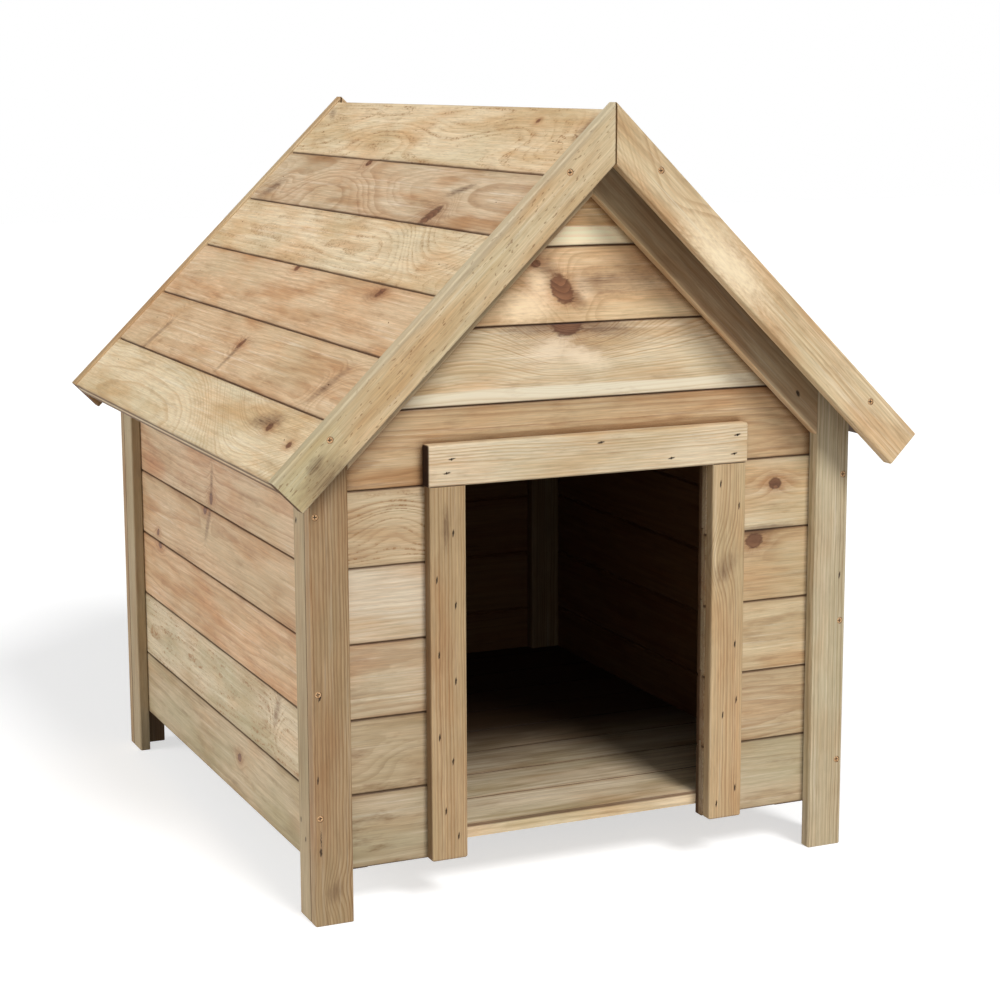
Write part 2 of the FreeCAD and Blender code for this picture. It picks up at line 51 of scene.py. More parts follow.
JAMB_WIDTH = 44.0
LINTEL_BOTTOM = 485.0
BEARER_TOP = 50.0
JAMB_EDGE = {"left": -200.0, "right": 156.0}


# ---------------------------------------------------------------- node graphs
class Graph:
    """Short calls for building one node tree."""

    def __init__(self, tree):
        self.tree = tree

    def node(self, kind, **settings):
        made = self.tree.nodes.new(kind)
        for name, value in settings.items():
            setattr(made, name, value)
        return made

    def feed(self, socket, value):
        if isinstance(value, bpy.types.NodeSocket):
            self.tree.links.new(value, socket)
        elif value is not None:
            if hasattr(socket.default_value, "__len__") and not hasattr(value, "__len__"):
                value = [value] * 3
            if socket.type == "RGBA" and len(value) == 3:
                value = (*value, 1.0)
            socket.default_value = value

    def math(self, operation, a, b=None, c=None, clamp=False):
        made = self.node("ShaderNodeMath", operation=operation, use_clamp=clamp)
        for socket, value in zip(made.inputs, (a, b, c)):
            self.feed(socket, value)
        return made.outputs[0]

    def vector(self, operation, a, b=None):
        made = self.node("ShaderNodeVectorMath", operation=operation)
        self.feed(made.inputs[0], a)
        self.feed(made.inputs[1], b)
        scalar = operation in ("DOT_PRODUCT", "LENGTH", "DISTANCE")
        return made.outputs["Value" if scalar else "Vector"]

    def split(self, value):
        made = self.node("ShaderNodeSeparateXYZ")
        self.feed(made.inputs[0], value)
        return made.outputs

    def join(self, x, y, z):
        made = self.node("ShaderNodeCombineXYZ")
        for socket, value in zip(made.inputs, (x, y, z)):
            self.feed(socket, value)
        return made.outputs[0]

    def noise(self, place, scale=1.0, detail=2.0, roughness=0.5, dimensions="3D"):
        made = self.node("ShaderNodeTexNoise", noise_dimensions=dimensions)
        self.feed(made.inputs["W" if dimensions == "1D" else "Vector"], place)
        made.inputs["Scale"].default_value = scale
        made.inputs["Detail"].default_value = detail
        made.inputs["Roughness"].default_value = roughness
        return made.outputs["Fac"]

    def white(self, value):
        made = self.node("ShaderNodeTexWhiteNoise", noise_dimensions="1D")
        self.feed(made.inputs["W"], value)
        return made.outputs["Value"]

    def span(self, value, low, high, to_low=0.0, to_high=1.0, smooth=True):
        kind = "SMOOTHSTEP" if smooth else "LINEAR"
        made = self.node("ShaderNodeMapRange", interpolation_type=kind, clamp=True)
        for socket, given in zip(made.inputs, (value, low, high, to_low, to_high)):
            self.feed(socket, given)
        return made.outputs[0]

    def mix(self, factor, a, b, blend="MIX"):
        made = self.node("ShaderNodeMix", data_type="RGBA", blend_type=blend, clamp_factor=True)
        self.feed(made.inputs[0], factor)
        self.feed(made.inputs[6], a)
        self.feed(made.inputs[7], b)
        return made.outputs[2]


def new_group(name, inputs, outputs):
    """A shader group; inputs are (name, kind, default)."""
    tree = bpy.data.node_groups.new(name, "ShaderNodeTree")
    kinds = {"f": "NodeSocketFloat", "v": "NodeSocketVector", "c": "NodeSocketColor"}
    for label, kind, default in inputs:
        socket = tree.interface.new_socket(label, in_out="INPUT", socket_type=kinds[kind])
        if default is not None:
            socket.default_value = (*default, 1.0) if kind == "c" else default
    for label, kind in outputs:
        tree.interface.new_socket(label, in_out="OUTPUT", socket_type=kinds[kind])
    graph = Graph(tree)
    entry = graph.node("NodeGroupInput")
    leave = graph.node("NodeGroupOutput")
    return tree, graph, entry.outputs, leave.inputs


def srgb(r, g, b):
    """A colour written as 0 to 255 screen values."""
    return tuple(((c / 255 + 0.055) / 1.055) ** 2.4 if c > 10 else c / 255 / 12.92 for c in (r, g, b))


# ---------------------------------------------------------------- pine
PALE_STREAK = srgb(250, 240, 220)
WARM_CLOUD = srgb(240, 196, 150)
GREEN_TINGE = srgb(150, 150, 112)
SAPWOOD, SAPWOOD_GRAIN = srgb(236, 224, 194), srgb(220, 200, 160)
FLECK, DOT = srgb(140, 98, 58), srgb(150, 104, 58)
GLOW, SMEAR = srgb(250, 226, 190), srgb(112, 82, 60)
KNOT_HEART, KNOT_DARK, KNOT_RIM = srgb(146, 98, 68), srgb(80, 50, 36), srgb(74, 44, 28)
TEAR = srgb(52, 32, 18)
WEATHERED = srgb(176, 166, 142)
END_GRAIN = srgb(116, 80, 50)
# Painted shade for the inner faces inside the house.
INNER_FACE_SHADE = srgb(130, 104, 76)
DEEP_SHADE = srgb(60, 46, 33)
# Dirt and painted shade in the joints, and a softer painted shade near them.
JOINT_DIRT_AND_SHADE, JOINT_EDGE_SHADE = srgb(98, 68, 42), srgb(196, 166, 132)
GRIME = srgb(178, 150, 120)


def knot_group():
    """A knot, or a soft smear: where it is, and how far it pushes the growth rings aside."""
    inputs = [
        ("Place", "v", None), ("U", "f", 0.0), ("V", "f", 0.0), ("Long", "f", 10.0),
        ("Wide", "f", 6.0), ("Turn", "f", 0.0), ("Bend", "f", 12.0), ("Reach", "f", 2.4),
        ("Soft", "f", 0.16), ("Ragged", "f", 0.7),
        ("Amount", "f", 1.0), ("Burst", "f", 0.25), ("Core In", "f", 0.0), ("Halo In", "f", 0.0),
        ("Bend In", "f", 0.0), ("Rim In", "f", 0.0),
    ]
    outputs = [("Core", "f"), ("Halo", "f"), ("Bend", "f"), ("Rim", "f")]
    tree, g, i, o = new_group("Knot", inputs, outputs)
    x, y, _ = g.split(i["Place"])
    du = g.math("SUBTRACT", x, i["U"])
    dv = g.math("SUBTRACT", y, i["V"])
    c, s = g.math("COSINE", i["Turn"]), g.math("SINE", i["Turn"])
    a = g.math("ADD", g.math("MULTIPLY", du, c), g.math("MULTIPLY", dv, s))
    b = g.math("SUBTRACT", g.math("MULTIPLY", dv, c), g.math("MULTIPLY", du, s))
    flat = g.join(g.math("DIVIDE", a, i["Long"]), g.math("DIVIDE", b, i["Wide"]), 0.0)
    d = g.vector("LENGTH", flat)
    ragged = g.noise(g.vector("MULTIPLY", i["Place"], (0.11, 0.3, 0.3)), 1.0, 3.0, 0.6)
    rough = g.math("ADD", d, g.math("MULTIPLY", g.math("SUBTRACT", ragged, 0.5), i["Ragged"]))
    core = g.span(rough, g.math("ADD", 1.0, i["Soft"]), g.math("SUBTRACT", 1.0, i["Soft"]))
    rim_far = g.math("DIVIDE", g.math("SUBTRACT", rough, 0.95), 0.16)
    rim = g.math("EXPONENT", g.math("MULTIPLY", g.math("MULTIPLY", rim_far, rim_far), -1.0))
    fade = g.math("DIVIDE", d, i["Reach"])
    fade = g.math("EXPONENT", g.math("MULTIPLY", g.math("MULTIPLY", fade, fade), -1.0))
    wide = g.join(g.math("DIVIDE", du, g.math("MULTIPLY", i["Long"], 2.6)),
                  g.math("DIVIDE", dv, g.math("MULTIPLY", i["Wide"], 2.2)), 0.0)
    wide = g.math("ADD", g.vector("LENGTH", wide), g.math("MULTIPLY", g.math("SUBTRACT", ragged, 0.5), 0.8))
    halo = g.math("EXPONENT", g.math("MULTIPLY", g.math("MULTIPLY", wide, wide), -1.0))
    spokes = g.noise(g.math("MULTIPLY", g.math("ARCTAN2", b, a), 11.0), 1.0, 2.0, dimensions="1D")
    spokes = g.math("MULTIPLY", g.span(spokes, 0.48, 0.62), g.span(d, 2.6, 1.0))
    halo = g.math("ADD", halo, g.math("MULTIPLY", spokes, i["Burst"]))
    for label, value in (("Core", core), ("Halo", halo), ("Rim", rim)):
        given = g.math("MULTIPLY", value, i["Amount"])
        g.feed(o[label], g.math("MAXIMUM", given, i[label + " In"]))
    g.feed(o["Bend"], g.math("ADD", g.math("MULTIPLY", fade, i["Bend"]), i["Bend In"]))
    return tree


def slit_group():
    """A small dark tear in the face, such as a gun nail leaves."""
    inputs = [("Place", "v", None), ("U", "f", 0.0), ("V", "f", 0.0), ("Long", "f", 4.0), ("Wide", "f", 1.0),
              ("Turn", "f", 0.0), ("Mask In", "f", 0.0)]
    tree, g, i, o = new_group("Slit", inputs, [("Mask", "f")])
    x, y, _ = g.split(i["Place"])
    du, dv = g.math("SUBTRACT", x, i["U"]), g.math("SUBTRACT", y, i["V"])
    c, s = g.math("COSINE", i["Turn"]), g.math("SINE", i["Turn"])
    a = g.math("ADD", g.math("MULTIPLY", du, c), g.math("MULTIPLY", dv, s))
    b = g.math("SUBTRACT", g.math("MULTIPLY", dv, c), g.math("MULTIPLY", du, s))
    b = g.math("ADD", b, g.math("MULTIPLY", g.math("SUBTRACT", g.noise(i["Place"], 0.35, 1.0), 0.5), 1.6))
    d = g.vector("LENGTH", g.join(g.math("DIVIDE", a, i["Long"]), g.math("DIVIDE", b, i["Wide"]), 0.0))
    g.feed(o["Mask"], g.math("MAXIMUM", g.span(d, 1.25, 0.6), i["Mask In"]))
    return tree


def pine_group():
    """Growth rings round a pith, cut by the board's face, with fibres, clouds, flecks and knots."""
    inputs = [
        ("Place", "v", None), ("Facing", "f", 0.0), ("Seed", "f", 0.0),
        ("Pith V", "f", 40.0), ("Pith W", "f", -60.0), ("Spacing", "f", 4.0), ("Wander", "f", 8.0),
        ("Taper", "f", 0.006), ("Contrast", "f", 0.4), ("Pale", "c", srgb(222, 200, 162)),
        ("Dark", "c", srgb(178, 136, 88)), ("Cloud", "c", srgb(190, 150, 120)), ("Cloudy", "f", 0.6),
        ("Flecks", "f", 0.0), ("Dotted", "f", 0.0), ("Sap Below", "f", -50.0), ("Green", "f", 0.15),
        ("Grime", "f", 0.35), ("Start", "f", 0.0), ("Cover", "f", 1000.0), ("Joint", "f", 0.0),
        ("Inside", "f", -500.0), ("Tint", "c", (1.0, 1.0, 1.0)), ("Shade", "f", 0.0),
        ("Streaks", "f", 1.0), ("Weathered", "f", -50.0), ("Halo Color", "c", srgb(192, 138, 92)),
        ("End Grain", "f", 0.95), ("Core", "f", 0.0), ("Halo", "f", 0.0), ("Bend", "f", 0.0),
        ("Rim", "f", 0.0), ("Smear", "f", 0.0), ("Glow", "f", 0.0), ("Slit", "f", 0.0),
    ]
    outputs = [("Color", "c"), ("Roughness", "f"), ("Height", "f")]
    tree, g, i, o = new_group("Pine", inputs, outputs)
    seed = g.math("MULTIPLY", i["Seed"], 37.7)
    offset = g.join(g.math("MULTIPLY", i["Seed"], 517.3), seed, g.math("MULTIPLY", seed, 1.7))
    u, v, w = g.split(i["Place"])
    moved = g.vector("ADD", i["Place"], offset)

    def stretched(along, across, detail=2.0, roughness=0.5, turn=0.0):
        place = g.vector("MULTIPLY", moved, (along, across, across))
        if turn:
            place = g.vector("ADD", place, (turn, turn * 2, turn * 3))
        return g.noise(place, 1.0, detail, roughness)

    # rings
    slow = g.math("MULTIPLY", g.math("SUBTRACT", stretched(0.0021, 0.006, 1.0), 0.5), i["Wander"])
    slow = g.math("MULTIPLY", slow, 2.0)
    ripple = g.math("MULTIPLY", g.math("SUBTRACT", stretched(0.013, 0.05, 3.0, turn=9.1), 0.5), 4.2)
    across = g.math("SUBTRACT", v, i["Pith V"])
    depth = g.math("SUBTRACT", w, i["Pith W"])
    radius = g.vector("LENGTH", g.join(across, depth, 0.0))
    radius = g.math("ADD", g.math("ADD", radius, slow), g.math("ADD", ripple, i["Bend"]))
    radius = g.math("ADD", radius, g.math("MULTIPLY", u, i["Taper"]))
    uneven = g.noise(g.math("ADD", g.math("MULTIPLY", radius, 0.055), seed), 1.0, 1.0, dimensions="1D")
    ring = g.math("ADD", g.math("DIVIDE", radius, i["Spacing"]), g.math("MULTIPLY", uneven, 2.4))
    part = g.math("FRACT", ring)
    rise = g.span(part, 0.3, 0.88)
    fall = g.span(part, 1.0, 0.92)
    weight = g.white(g.math("ADD", g.math("FLOOR", ring), seed))
    weight = g.math("ADD", 0.2, g.math("MULTIPLY", weight, 0.8))
    late = g.math("MULTIPLY", g.math("MULTIPLY", rise, fall), weight)

    # textures along the grain
    fibre = stretched(0.014, 0.5, 3.0, 0.65, turn=3.3)
    hair = stretched(0.05, 1.3, 2.0, 0.6, turn=5.9)
    streak = stretched(0.004, 0.26, 4.0, 0.7, turn=4.4)
    cloud = stretched(0.0045, 0.024, 3.0, 0.6, turn=1.7)
    blush = stretched(0.009, 0.03, 2.0, 0.5, turn=7.7)
    smudge = stretched(0.016, 0.07, 4.0, 0.68, turn=11.3)
    fleck = g.span(stretched(0.13, 0.42, 1.0, 0.5, turn=2.9), 0.655, 0.72)
    dots = g.span(stretched(0.22, 0.32, 2.0, turn=8.3), 0.5, 0.62)
    dots = g.math("MULTIPLY", dots, g.span(smudge, 0.42, 0.58))

    strength = g.math("MULTIPLY", i["Contrast"], g.math("ADD", 0.4, g.math("MULTIPLY", fibre, 1.2)))
    grain = g.math("MULTIPLY", late, strength, clamp=True)
    color = g.mix(grain, i["Pale"], i["Dark"])
    lined = g.math("MULTIPLY", g.span(streak, 0.48, 0.7), g.math("MULTIPLY", i["Streaks"], 0.55))
    color = g.mix(lined, color, g.mix(0.5, i["Pale"], i["Dark"]))
    bright = g.math("MULTIPLY", g.span(streak, 0.46, 0.28), g.math("MULTIPLY", i["Streaks"], 0.3))
    color = g.mix(bright, color, PALE_STREAK)
    cloudy = g.math("MULTIPLY", g.span(cloud, 0.42, 0.7), i["Cloudy"])
    color = g.mix(cloudy, color, i["Cloud"], "MULTIPLY")
    fine = g.span(g.math("ADD", g.math("MULTIPLY", fibre, 0.52), g.math("MULTIPLY", hair, 0.48)),
                  0.32, 0.68, 0.77, 1.16, smooth=False)
    color = g.mix(1.0, color, g.join(fine, fine, fine), "MULTIPLY")
    warm = g.math("MULTIPLY", g.span(blush, 0.45, 0.75), 0.3)
    color = g.mix(warm, color, WARM_CLOUD, "MULTIPLY")
    tinge = g.math("MULTIPLY", g.span(stretched(0.006, 0.016, 2.0, turn=13.7), 0.4, 0.7), i["Green"])
    color = g.mix(tinge, color, GREEN_TINGE)
    sap_edge = g.math("ADD", v, g.math("MULTIPLY", g.math("SUBTRACT", cloud, 0.5), 16.0))
    sap = g.span(g.math("SUBTRACT", i["Sap Below"], sap_edge), -1.5, 1.5)
    color = g.mix(g.math("MULTIPLY", sap, 0.8), color, g.mix(grain, SAPWOOD, SAPWOOD_GRAIN))
    color = g.mix(g.math("MULTIPLY", fleck, i["Flecks"]), color, FLECK)
    dotted = g.math("MULTIPLY", g.math("MULTIPLY", g.span(late, 0.1, 0.5), dots), i["Dotted"])
    color = g.mix(dotted, color, DOT)

    # knots, smears and slits
    color = g.mix(g.math("MULTIPLY", i["Halo"], 0.6, clamp=True), color, i["Halo Color"], "MULTIPLY")
    shine = g.math("ADD", 0.1, g.math("MULTIPLY", cloud, 1.1))
    color = g.mix(g.math("MULTIPLY", i["Glow"], shine, clamp=True), color, GLOW)
    spread = g.math("ADD", 0.1, g.math("MULTIPLY", smudge, 1.2))
    spread = g.math("MULTIPLY", i["Smear"], spread, clamp=True)
    spread = g.math("MULTIPLY", spread, g.span(fibre, 0.36, 0.6, 0.45, 1.0))
    color = g.mix(spread, color, SMEAR)
    tone = g.math("ADD", g.math("MULTIPLY", part, 0.5), g.math("MULTIPLY", smudge, 0.6))
    heart = g.mix(tone, KNOT_HEART, KNOT_DARK)
    color = g.mix(g.math("MULTIPLY", i["Core"], 0.9), color, heart)
    color = g.mix(g.math("MULTIPLY", i["Rim"], 0.36), color, KNOT_RIM)
    color = g.mix(g.math("MULTIPLY", i["Slit"], 0.9), color, TEAR)
    color = g.mix(1.0, color, i["Tint"], "MULTIPLY")
    band = g.math("ADD", v, g.math("MULTIPLY", g.math("SUBTRACT", cloud, 0.5), 26.0))
    band = g.math("SUBTRACT", i["Weathered"], band)
    color = g.mix(g.span(band, -3.0, 6.0, 0.0, 0.5), color, WEATHERED)

    # sawn ends, painted shade on the inner face and deeper inside, dirt and painted shade in the joints, and
    # a little handling dirt
    color = g.mix(g.math("MULTIPLY", i["Facing"], i["End Grain"]), color, END_GRAIN, "MULTIPLY")
    inner = g.span(g.math("SUBTRACT", i["Inside"], w), -2.0, 2.0)
    color = g.mix(g.math("MULTIPLY", inner, 0.95), color, INNER_FACE_SHADE, "MULTIPLY")
    color = g.mix(i["Shade"], color, DEEP_SHADE, "MULTIPLY")
    edge = g.math("MINIMUM", g.math("SUBTRACT", v, i["Start"]), g.math("SUBTRACT", i["Cover"], v))
    edge = g.math("ADD", edge, g.math("MULTIPLY", g.math("SUBTRACT", fibre, 0.5), 1.6))
    at_face = g.math("MULTIPLY", g.span(w, -5.0, -2.4), i["Joint"])
    dirt = g.math("MULTIPLY", g.span(edge, 2.4, 0.5), at_face)
    color = g.mix(dirt, color, JOINT_DIRT_AND_SHADE, "MULTIPLY")
    # Painted shade fading in from each joint.
    near = g.math("MULTIPLY", g.span(edge, 9.0, 1.0), g.math("MULTIPLY", at_face, 0.3))
    color = g.mix(near, color, JOINT_EDGE_SHADE, "MULTIPLY")
    grime = g.math("MULTIPLY", g.span(smudge, 0.5, 0.75), i["Grime"])
    color = g.mix(grime, color, GRIME, "MULTIPLY")

    rough = g.math("ADD", 0.56, g.math("MULTIPLY", hair, 0.16))
    rough = g.math("SUBTRACT", rough, g.math("MULTIPLY", i["Core"], 0.12))
    rough = g.math("SUBTRACT", rough, g.math("MULTIPLY", grain, 0.06))
    height = g.math("ADD", g.math("MULTIPLY", fibre, 0.6), g.math("MULTIPLY", hair, 0.35))
    height = g.math("SUBTRACT", height, g.math("MULTIPLY", i["Slit"], 3.0))
    height = g.math("ADD", height, g.math("MULTIPLY", i["Core"], 0.4))
    g.feed(o["Color"], color)
    g.feed(o["Roughness"], g.math("ADD", rough, g.math("MULTIPLY", i["Facing"], 0.2), clamp=True))
    g.feed(o["Height"], height)
    return tree


KNOT, SLIT, PINE = knot_group(), slit_group(), pine_group()
BUMP_DEPTH = 0.00028
BUMP_STRENGTH = 0.55
SHEEN = 0.32
TEAR_SIZE = (4.6, 1.05)
# Painted shade colour for inner corners.
CORNER_SHADE = (0.42, 0.34, 0.27)


def use_group(graph, tree, **values):
    made = graph.node("ShaderNodeGroup", node_tree=tree)
    for name, value in values.items():
        graph.feed(made.inputs[name.replace("_", " ")], value)
    return made


def pine(name, axes, seed, knots=(), smears=(), glows=(), slits=(), swirls=(), edges=(),
         style=None, seeds_by=None, shade=None, corners=0.0, **look):
    """A pine material for one piece.

    knots, smears, glows and swirls are (u, v, long, wide, turn, bend), and slits (u, v, turn).
    edges are (axis, where it starts, where it is full, tone), and the corner shade setting is how
    far painted shade reaches from an inner corner.
    """
    material = bpy.data.materials.new(name)
    material.use_nodes = True
    g = Graph(material.node_tree)
    shader = material.node_tree.nodes["Principled BSDF"]
    coordinates = g.node("ShaderNodeTexCoord")
    origin, along, across, out = axes
    shifted = g.vector("SUBTRACT", coordinates.outputs["Object"], tuple(Vector(origin) * MM))
    shifted = g.vector("MULTIPLY", shifted, (1 / MM,) * 3)
    place = g.join(*(g.vector("DOT_PRODUCT", shifted, tuple(axis)) for axis in (along, across, out)))
    facing = g.math("ABSOLUTE", g.vector("DOT_PRODUCT", coordinates.outputs["Normal"], tuple(along)))
    facing = g.span(facing, 0.7, 0.9)
    seed_value = seed
    shade_value = None
    if shade:
        depth = g.split(coordinates.outputs["Object"])[1]
        shade_value = g.span(depth, shade[0] * MM, shade[1] * MM)
    if seeds_by:
        place, seed_value = seeds_by(g, place, seed)
    # Ambient occlusion paints shade into inner corners.
    if corners:
        hollow = g.node("ShaderNodeAmbientOcclusion", samples=6)
        hollow.inputs["Distance"].default_value = corners * MM
        tone = g.mix(g.span(hollow.outputs["AO"], 0.93, 0.55), (1.0, 1.0, 1.0), CORNER_SHADE)
        look["Tint"] = g.mix(1.0, look.get("Tint", (1.0, 1.0, 1.0)), tone, "MULTIPLY")
    for axis, start, full, tone in edges:
        reached = g.span(g.split(place)[axis], start, full)
        look["Tint"] = g.mix(reached, look.get("Tint", (1.0, 1.0, 1.0)), tone, "MULTIPLY")
    masks = {"Core": None, "Halo": None, "Bend": None, "Rim": None}

    def add_mark(spot, carried, **extra):
        u, v, long_, wide, angle, push = spot[:6]
        made = use_group(g, KNOT, Place=place, U=u, V=v, Long=long_, Wide=wide,
                         Turn=math.radians(angle), Bend=push, **extra)
        for label in carried:
            if masks[label] is not None:
                g.feed(made.inputs[label + " In"], masks[label])
        return made

    for spot in swirls:
        masks["Bend"] = add_mark(spot, ("Bend",), Amount=0.0, Reach=1.0).outputs["Bend"]
    for spot in knots:
        extra = {"Burst": spot[6]} if len(spot) > 6 else {}
        made = add_mark(spot, tuple(masks), **(style or {}), **extra)
        masks = {label: made.outputs[label] for label in masks}
    patches = {"Smear": None, "Glow": None}
    for label, spots in (("Smear", smears), ("Glow", glows)):
        for spot in spots:
            made = add_mark(spot, ("Bend",), Soft=0.85, Ragged=1.6)
            masks["Bend"] = made.outputs["Bend"]
            mask = made.outputs["Core"]
            patches[label] = mask if patches[label] is None else g.math("MAXIMUM", patches[label], mask)
    slit = None
    for u, v, angle, *size in slits:
        long_, wide = size or TEAR_SIZE
        made = use_group(g, SLIT, Place=place, U=u, V=v, Turn=math.radians(angle),
                         Long=long_, Wide=wide)
        if slit is not None:
            g.feed(made.inputs["Mask In"], slit)
        slit = made.outputs[0]
    made = use_group(g, PINE, Place=place, Facing=facing, Seed=seed_value, Slit=slit, Shade=shade_value,
                     **patches, **masks, **look)
    bump = g.node("ShaderNodeBump")
    bump.inputs["Strength"].default_value = BUMP_STRENGTH
    bump.inputs["Distance"].default_value = BUMP_DEPTH
    g.feed(bump.inputs["Height"], made.outputs["Height"])
    g.feed(shader.inputs["Base Color"], made.outputs["Color"])
    g.feed(shader.inputs["Roughness"], made.outputs["Roughness"])
    g.feed(shader.inputs["Normal"], bump.outputs[0])
    shader.inputs["Specular IOR Level"].default_value = SHEEN
    return material


def dress(node, material):
    """Give a CAD node its material through the object's slots."""
    piece = NODES[node]
    for slot in piece.material_slots:
        slot.link = "OBJECT"
        slot.material = material


# ---------------------------------------------------------------- piece frames, mm
# Each is the origin and the directions along, across and out of a piece.
LEFT, RIGHT = Vector((-1, 0, 0)), Vector((1, 0, 0))
FRONT, REAR = Vector((0, -1, 0)), Vector((0, 1, 0))
UP, DOWN = Vector((0, 0, 1)), Vector((0, 0, -1))
DOWN_LEFT, DOWN_RIGHT = Vector((-COS, 0, -SIN)), Vector((COS, 0, -SIN))
OFF_LEFT, OFF_RIGHT = Vector((-SIN, 0, COS)), Vector((SIN, 0, COS))


def front_axes(row):
    return (Vector((0, FRONT_OUTER, WALL_BOTTOM + row * ROW)), RIGHT, UP, FRONT)


def side_axes(row):
    return (Vector((-SIDE_OUTER, 0, WALL_BOTTOM + row * ROW)), FRONT, UP, LEFT)


def roof_axes(row, side):
    down, off = (DOWN_LEFT, OFF_LEFT) if side < 0 else (DOWN_RIGHT, OFF_RIGHT)
    top = Vector((0, 0, RIDGE)) + down * (ROOF_START + row * ROOF_ROW) - off * ROOF_STAND
    along = REAR if side < 0 else FRONT
    return (top, along, down, off)


def slope_axes(y, out, side):
    """Along the slope from the tip, with v square below the top edge."""
    down, off = (DOWN_LEFT, OFF_LEFT) if side < 0 else (DOWN_RIGHT, OFF_RIGHT)
    return (Vector((0, y, RIDGE)), down, -off, out)


def post_axes(x, y, out):
    across = UP.cross(out)
    return (Vector((x, y, 0)), UP, across, out)


# ---------------------------------------------------------------- colours
YELLOW = dict(Pale=srgb(228, 206, 168), Dark=srgb(188, 146, 96), Cloud=srgb(224, 200, 166))
TAN = dict(Pale=srgb(214, 186, 148), Dark=srgb(166, 122, 80), Cloud=srgb(212, 176, 140))
PINK = dict(Pale=srgb(212, 182, 150), Dark=srgb(164, 120, 88), Cloud=srgb(214, 172, 142))
ORANGE = dict(Pale=srgb(214, 182, 140), Dark=srgb(160, 112, 66), Cloud=srgb(216, 174, 126))
GREY = dict(Pale=srgb(206, 188, 156), Dark=srgb(158, 132, 96), Cloud=srgb(198, 184, 154))
BROWN = dict(Pale=srgb(196, 166, 128), Dark=srgb(148, 110, 68), Cloud=srgb(204, 168, 126))


def look(base, **extra):
    return {**base, **extra}


WALL = dict(Cover=ROW, Inside=-9.0, Joint=0.8, End_Grain=0.55)
# Gable boards get painted shade in the corners beside the battens, posts and lintel.
GABLE = dict(corners=13.0, **WALL)
ROOF = dict(Cover=ROOF_ROW, Inside=-9.0, Joint=0.8)


# ---------------------------------------------------------------- front wall
SHORT_SWIRLS = {1: ((-210.0, 30.0, 50.0, 26.0, 0.0, 12.0),), 4: ((-236.0, 44.0, 44.0, 26.0, 0.0, 18.0),)}
SHORT = [
    look(GREY, Contrast=0.45, Green=0.35, Tint=(0.87, 0.84, 0.84), Grime=0.8),
    look(GREY, Contrast=0.5, Green=0.2, Tint=(0.96, 0.89, 0.87), Grime=0.8),
    look(TAN, Contrast=0.5, Tint=(0.95, 1.02, 1.13)),
    look(YELLOW, Contrast=0.3, Tint=(0.95, 1.0, 1.16), Grime=0.1),
    look(TAN, Contrast=0.75, Dotted=0.7, Tint=(1.08, 1.15, 1.24)),
]
for row, base in enumerate(SHORT):
    dress(f"front_board_left_{row + 1}",
          pine(f"pine_front_left_{row + 1}", front_axes(row), 3.0 + row, swirls=SHORT_SWIRLS.get(row, ()),
               Pith_V=30.0 + 17 * row, Pith_W=-70.0, **WALL, **base))
RIGHT_SHORT = [
    (look(GREY, Contrast=0.5, Green=0.3, Tint=(1.0, 0.99, 1.0)), ()),
    (look(TAN, Contrast=0.55, Tint=(0.89, 0.91, 0.92)), ()),
    (look(TAN, Contrast=0.6, Tint=(1.0, 1.08, 1.1)), ()),
    (look(ORANGE, Contrast=0.5, Tint=(1.0, 1.08, 1.14)), ((221.6, 73.7, 11.0, 8.5, 0.0, 9.0),)),
    (look(YELLOW, Contrast=0.5, Tint=(0.98, 1.02, 1.07)), ((249.2, 54.5, 8.5, 6.5, 0.0, 8.0),)),
]
RIGHT_STAINS = {3: ((226.0, 84.0, 26.0, 4.0, 0.0, 0.0),), 4: ((240.0, 3.0, 34.0, 3.0, 0.0, 0.0),)}
for row, (base, knots) in enumerate(RIGHT_SHORT):
    dress(f"front_board_right_{row + 1}",
          pine(f"pine_front_right_{row + 1}", front_axes(row), 11.3 + row, knots=knots,
               smears=RIGHT_STAINS.get(row, ()), Pith_V=20.0 + 14 * row, Pith_W=-55.0,
               **WALL, **base))
dress("front_board_6",
      pine("pine_front_6", front_axes(5), 17.0, Pith_V=30.0, Pith_W=-38.0, Taper=0.02,
           **GABLE, **look(ORANGE, Contrast=0.55, Tint=(0.93, 0.95, 0.97))))
dress("front_board_7",
      pine("pine_front_7", front_axes(6), 18.0,
           knots=((-25.2, 86.0, 19.0, 14.0, 0.0, -58.0, 0.35),), style=dict(Reach=3.2),
           smears=((-62.0, 83.0, 34.0, 7.0, 5.0, -4.0), (18.0, 80.0, 40.0, 9.0, -10.0, -6.0)),
           glows=((-44.0, 58.0, 22.0, 12.0, 20.0, 0.0), (-6.0, 48.0, 30.0, 9.0, -20.0, 0.0)),
           swirls=((-130.0, 40.0, 70.0, 40.0, 8.0, 10.0), (40.0, 90.0, 90.0, 50.0, -14.0, -20.0)),
           Pith_V=130.0, Pith_W=-40.0, Halo_Color=srgb(176, 134, 92), Sap_Below=16.0,
           **GABLE, **look(YELLOW, Contrast=0.8, Tint=(1.05, 1.08, 1.15))))
